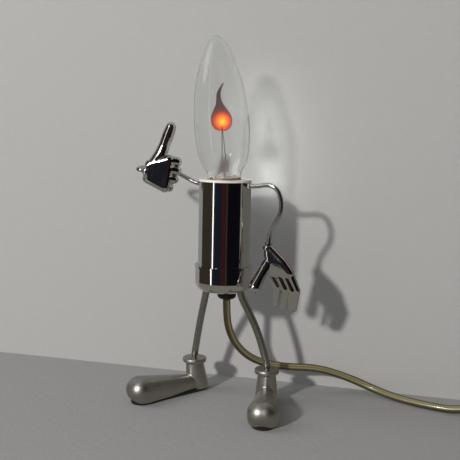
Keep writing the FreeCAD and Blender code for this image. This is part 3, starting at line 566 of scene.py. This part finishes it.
formed_hand("hand_left_formed", open_palm, open_chains, open_cuff, [
    (left_wrist - left_forearm * 3.0, left_forearm, 3.3, 3.4),
    (left_wrist, left_forearm, 6.0, wrist_bore_r),
], "hand_left")


# Shoes, one cast form each, with a thin sole below

ankle_x = 26.65
ankle_y = 12.9
shoe_top = 23.0
sole_height = 1.8
shoe_voxel = 0.4
ankle_bore_r = 1.62
screw_recess_r = 3.0


def rings_hull(bm, rings, place):
    """Form stretched over level circles given as (ahead, side, height, radius)."""
    form = bmesh.new()
    for ahead, side, height, radius in rings:
        bmesh.ops.create_circle(
            form, segments=72, radius=radius / 1000, matrix=Matrix.Translation(place(ahead, side, height)),
        )
    bmesh.ops.convex_hull(form, input=form.verts)
    mesh = bpy.data.meshes.new("rings")
    form.to_mesh(mesh)
    form.free()
    bm.from_mesh(mesh)
    bpy.data.meshes.remove(mesh)


def formed_shoe(side, splay, reach, body):
    """Shoe and sole on the given side, turned out by splay degrees, with the toe at reach from the ankle."""
    heading = math.radians(splay)
    ahead_way = Vector((side * math.sin(heading), -math.cos(heading), 0.0))
    side_way = Vector((math.cos(heading), side * math.sin(heading), 0.0))

    def local(ahead, across, height):
        return Vector((side * ankle_x, ankle_y, height)) + ahead_way * ahead + side_way * across

    def placed(ahead, across, height):
        return about_body(*local(ahead, across, height))

    bm = bmesh.new()
    hull(bm, [
        (local(reach, 1.3, 8.7), 8.5), (local(reach, -1.3, 8.7), 8.5), (local(reach - 0.6, 3.0, 5.6), 6.6),
        (local(reach - 0.6, -3.0, 5.6), 6.6), (local(4.0, 0, 6.0), 5.4), (local(0.0, 0, 4.4), 5.2),
    ])
    rings_hull(bm, [
        (-3.0, 0, 0.0, 6.8), (-3.0, 0, 4.0, 7.4), (-0.6, 0, 14.0, 6.3), (0, 0, 20.6, 5.8),
    ], placed)
    rings_hull(bm, [(0, 0, 20.0, 7.7), (0, 0, 20.6, 8.1), (0, 0, 22.6, 8.1), (0, 0, shoe_top, 7.7)], placed)
    mesh = bpy.data.meshes.new(body + "_formed")
    bm.to_mesh(mesh)
    shoe = link(bpy.data.objects.new(body + "_formed", mesh))
    remesh = shoe.modifiers.new("remesh", "REMESH")
    remesh.mode = "VOXEL"
    remesh.voxel_size = shoe_voxel / 1000
    smooth = shoe.modifiers.new("smooth", "SMOOTH")
    smooth.factor = 0.5
    smooth.iterations = 5
    settled(shoe)
    up = Vector((0, 0, 1))
    # Flat underside, recess for the ankle's screw, and the ankle's bore
    for start, length, radius in (
        (-10.0, 10.0 + sole_height, 80.0), (sole_height - 1, 7.4, screw_recess_r), (7.0, 20.0, ankle_bore_r),
    ):
        cut_away(shoe, round_bar("cutter", local(0, 0, start), up, length, radius))
    shoe.data.materials.clear()
    shoe.data.materials.append(cast_nickel)
    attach(shoe, body)
    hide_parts(body)

    bm = bmesh.new()
    rings_hull(bm, [
        (reach - 1, 0, 0.0, 6.6), (reach - 1, 0, sole_height, 7.0),
        (-2.6, 0, 0.0, 5.8), (-2.6, 0, sole_height, 6.2),
    ], placed)
    mesh = bpy.data.meshes.new(body.replace("shoe", "sole") + "_formed")
    bm.to_mesh(mesh)
    sole = link(bpy.data.objects.new(mesh.name, mesh))
    sole.data.materials.append(black_rubber)
    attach(sole, body)
    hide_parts(body.replace("shoe", "sole"))


formed_shoe(-1, 27.0, 43.2, "shoe_right")
formed_shoe(1, 19.5, 42.0, "shoe_left")


# Cord grommet below the cup, turned round the cord

def turned(name, outline, centre, segments=96):
    """Closed ring form from (radius, height) pairs about an upright line."""
    bm = bmesh.new()
    loops = []
    for radius, height in outline:
        loop = []
        for k in range(segments):
            angle = 2 * math.pi * k / segments
            loop.append(bm.verts.new(about_body(
                centre[0] + radius * math.cos(angle), centre[1] + radius * math.sin(angle), height)))
        loops.append(loop)
    for low, high in zip(loops, loops[1:] + loops[:1]):
        for k in range(segments):
            n = (k + 1) % segments
            bm.faces.new((low[k], low[n], high[n], high[k]))
    bmesh.ops.recalc_face_normals(bm, faces=bm.faces)
    mesh = bpy.data.meshes.new(name)
    bm.to_mesh(mesh)
    return link(bpy.data.objects.new(name, mesh))


grommet = turned("grommet_formed", [
    (2.56, 78.4), (5.6, 78.4), (5.6, 76.45), (4.35, 76.45), (4.35, 74.95), (6.1, 74.95),
    (6.15, 73.6), (6.1, 70.6), (5.7, 69.4), (4.9, 68.7), (3.4, 68.4), (2.7, 68.6), (2.56, 69.2),
], (0.0, grommet_y))
edge = grommet.modifiers.new("edge", "BEVEL")
edge.width = 0.00025
edge.segments = 3
settled(grommet)
grommet.data.materials.append(black_rubber)
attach(grommet, "torso")
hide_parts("grommet")


# Stage: pale floor and wall, soft lights, and glowing cards that only the metal and glass reflect, which
# paint reflections of a room and painted shade

def plain_finish(name, colour, depth, one_sided=False):
    """Plain matt surface. A one-sided one lets rays pass from behind, so that such a view shows the lamp."""
    finish = Finish(name)
    grain = finish.noise(260, 5, 0.6)
    finish.colour(grain, [(0.3, grey(colour * 0.965, 0.012)), (0.7, grey(colour, 0.012))])
    finish.set(Roughness=0.9)
    finish.bump(grain, depth)
    if one_sided:
        geometry = finish.tree.nodes.new("ShaderNodeNewGeometry")
        clear = finish.tree.nodes.new("ShaderNodeBsdfTransparent")
        mix = finish.tree.nodes.new("ShaderNodeMixShader")
        finish.join(geometry.outputs["Backfacing"], mix.inputs[0])
        finish.join(finish.shader.outputs[0], mix.inputs[1])
        finish.join(clear.outputs[0], mix.inputs[2])
        finish.join(mix.outputs[0], finish.tree.nodes["Material Output"].inputs["Surface"])
    return finish.material


def sheet_mesh(name, corners, material):
    mesh = bpy.data.meshes.new(name)
    mesh.from_pydata([tuple(c) for c in corners], [], [tuple(range(len(corners)))])
    obj = link(bpy.data.objects.new(name, mesh))
    mesh.materials.append(material)
    return obj


# The wall's foot runs through these two points of the photograph's floor line, set back from them.
wall_left = about_body(-192.2, 5.7, 0)
wall_right = about_body(142.1, 66.8, 0)
wall_setback = 0.012
stage_reach = 4.0
along_wall = (wall_right - wall_left).normalized()
into_room = Vector((along_wall.y, -along_wall.x, 0))
wall_middle = (wall_left + wall_right) / 2 - into_room * wall_setback


def stage_point(along, out, up=0.0):
    """Point by its distances from the middle of the wall's foot, in metres."""
    return wall_middle + along_wall * along + into_room * out + Vector((0, 0, up))


sheet_mesh("floor", [
    stage_point(-stage_reach, -stage_reach), stage_point(-stage_reach, stage_reach),
    stage_point(stage_reach, stage_reach), stage_point(stage_reach, -stage_reach),
], plain_finish("floor", 0.31, 0.0003))
sheet_mesh("wall", [
    stage_point(-stage_reach, 0, -0.3), stage_point(stage_reach, 0, -0.3),
    stage_point(stage_reach, 0, 3), stage_point(-stage_reach, 0, 3),
], plain_finish("wall", 0.42, 0.0001, one_sided=True))


def lamp(name, place, target, size, power, colour):
    data = bpy.data.lights.new(name, "AREA")
    data.shape = "DISK"
    data.size = size
    data.energy = power
    data.color = colour
    obj = link(bpy.data.objects.new(name, data))
    obj.location = place
    obj.rotation_euler = (target - place).to_track_quat("-Z", "Y").to_euler()


middle = about_body(0, 0, 120)
camera_azimuth = 24.75


def round_object(azimuth, distance, height):
    """Point at a heading from the camera's own, positive to the camera's right."""
    heading = math.radians(camera_azimuth + azimuth)
    return Vector((math.sin(heading) * distance, -math.cos(heading) * distance, height))


def glossy_only(obj):
    """Shows the object to reflections alone."""
    for ray in ("camera", "diffuse", "transmission", "shadow", "volume_scatter"):
        setattr(obj, "visible_" + ray, False)


def glow_finish(name, colour, strength):
    material = bpy.data.materials.new(name)
    material.use_nodes = True
    tree = material.node_tree
    tree.nodes.remove(tree.nodes["Principled BSDF"])
    emission = tree.nodes.new("ShaderNodeEmission")
    emission.inputs["Color"].default_value = (*colour, 1.0)
    emission.inputs["Strength"].default_value = strength
    tree.links.new(emission.outputs[0], tree.nodes["Material Output"].inputs["Surface"])
    return material


def card(name, start, end, high, colour, strength, distance):
    """Curved glowing card round the object that only glossy rays see: a painted reflection of a room's dark
    and bright parts.
    """
    steps = max(2, int(abs(end - start) / 6))
    corners = []
    faces = []
    for k in range(steps + 1):
        azimuth = start + (end - start) * k / steps
        corners += [round_object(azimuth, distance, 0.0), round_object(azimuth, distance, high)]
        if k:
            faces.append((2 * k - 2, 2 * k, 2 * k + 1, 2 * k - 1))
    mesh = bpy.data.meshes.new(name)
    mesh.from_pydata([tuple(c) for c in corners], [], faces)
    mesh.materials.append(glow_finish(name, colour, strength))
    obj = link(bpy.data.objects.new(name, mesh))
    glossy_only(obj)


# Painted reflections of a dark room in olive, blue-black, red-brown and black, with a bright strip as a
# painted window highlight
card("room_left", -128, 102, 0.9, (0.036, 0.031, 0.022), 1.0, 0.34)
card("window", -52, -48, 0.8, (1.0, 0.98, 0.95), 2.6, 0.31)
card("room_blue", -42, -11, 0.9, (0.010, 0.012, 0.018), 1.0, 0.32)
card("room_red", -11, 9, 0.9, (0.035, 0.011, 0.010), 1.0, 0.32)
card("room_black", 14, 72, 0.9, (0.004, 0.004, 0.005), 1.0, 0.32)
card("far_window", 73, 81, 0.9, (0.22, 0.21, 0.20), 1.0, 0.31)

# Glowing sheets just before the wall and the floor that only reflections see: painted shade, in the darker
# tones that the metal shows of them
shade_start = about_body(6, 0, 0) + along_wall * 0.004
shade_start += into_room * ((wall_middle - shade_start).dot(into_room) + 0.004)


def before_wall(along, up=0.0):
    return shade_start + along_wall * along + Vector((0, 0, up))


# Painted shade: a glowing sheet in a shade tone that only reflections see
def tone(name, corners, colour):
    glossy_only(sheet_mesh(name, corners, glow_finish(name, colour, 1.0)))


tone("wall_shade", [
    before_wall(0.0), before_wall(0.7), before_wall(0.7, 0.22), before_wall(0.0, 0.19),
], (0.135, 0.125, 0.11))
tone("wall_left_painted_shade", [
    before_wall(-0.012), before_wall(-0.7), before_wall(-0.7, 0.3), before_wall(-0.012, 0.3),
], (0.29, 0.285, 0.28))
painted_shade_lift = 0.0004
tone("floor_painted_shade", [
    stage_point(-1, 0, painted_shade_lift), stage_point(-1, 1.2, painted_shade_lift),
    stage_point(1, 1.2, painted_shade_lift), stage_point(1, 0, painted_shade_lift),
], (0.19, 0.182, 0.158))

lamp("key", Vector((-0.36, -1.84, 0.85)), middle, 0.14, 29, (1.0, 0.975, 0.93))
lamp("fill", Vector((-1.3, -0.6, 1.3)), middle, 1.2, 9, (0.93, 0.96, 1.0))

world = bpy.data.worlds.new("world")
bpy.context.scene.world = world
world.use_nodes = True
world.node_tree.nodes["Background"].inputs["Color"].default_value = (0.86, 0.88, 0.9, 1.0)
world.node_tree.nodes["Background"].inputs["Strength"].default_value = 0.35
bpy.context.scene.view_settings.view_transform = "Standard"
